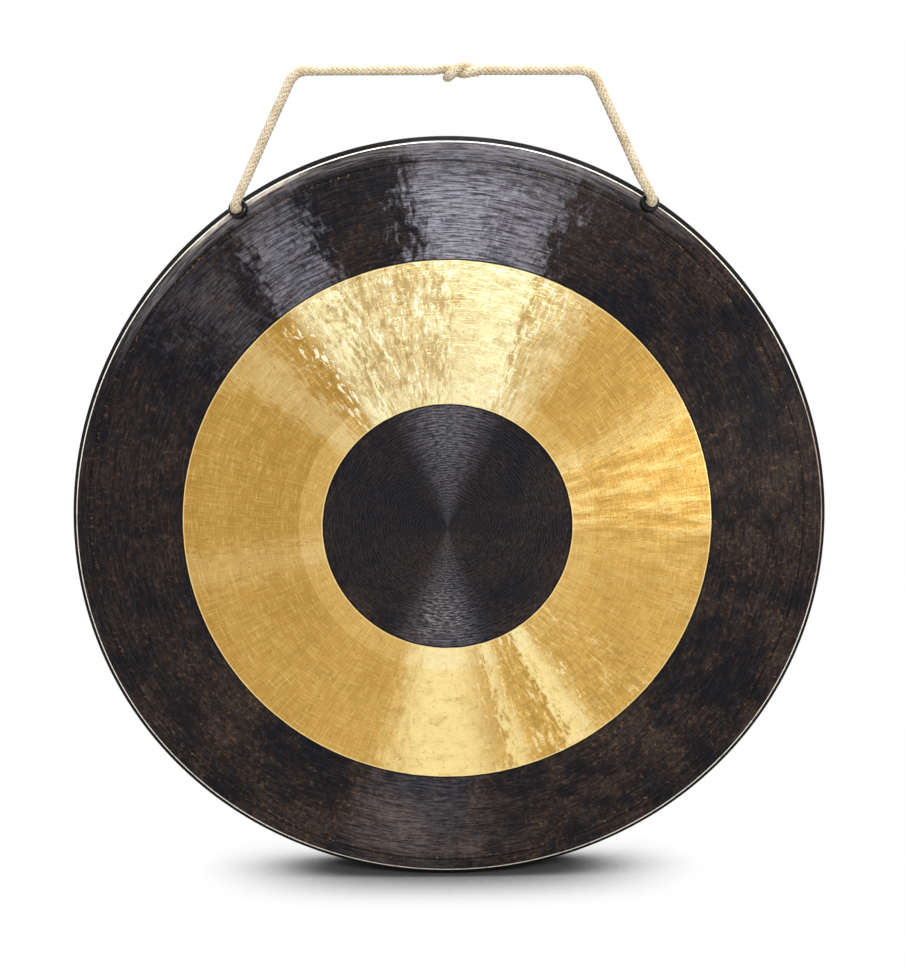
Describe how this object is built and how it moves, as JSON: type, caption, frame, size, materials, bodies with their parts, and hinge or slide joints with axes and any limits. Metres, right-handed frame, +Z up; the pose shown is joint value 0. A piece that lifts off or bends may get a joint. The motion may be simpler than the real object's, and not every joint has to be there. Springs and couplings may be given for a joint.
{
  "type": "tam-tam",
  "caption": "Flat-faced hammered bronze gong with a shallow turned-back rim, hung on a knotted braided cord through rubber bushes.",
  "frame": {"origin": "middle of the line between the two supports that carry the cord, on the cord's centreline", "axes": "+Z up, -Y towards the player's side that the struck face looks to, +X to the right seen from there"},
  "size_m": [0.6, 0.0597, 0.6516],
  "materials": {
    "bronze": "hammered and lathe-turned, black oxide left on the outer band and the centre",
    "bush_rubber": "smooth, slightly glossy",
    "braided_cord": "undyed cotton braid"
  },
  "bodies": {
    "top_stretch": {"cord_top_left": "braided_cord", "cord_knot": "braided_cord", "cord_top_right": "braided_cord"},
    "cord_legs": {"cord_left_leg": "braided_cord", "cord_right_leg": "braided_cord"},
    "gong": {"gong_plate": "bronze", "left_bush": "bush_rubber", "right_bush": "bush_rubber", "cord_back_stretch": "braided_cord"}
  },
  "joints": [
    {"name": "cord_swing", "type": "hinge", "parent": "top_stretch", "child": "cord_legs", "pos_m": [0, 0, 0], "axis": [1, 0, 0], "range_deg": [-35, 35]},
    {"name": "gong_tilt", "type": "hinge", "parent": "cord_legs", "child": "gong", "pos_m": [0, 0, -0.0955], "axis": [0.9999, 0, 0.0109], "range_deg": [-30, 15]}
  ]
}
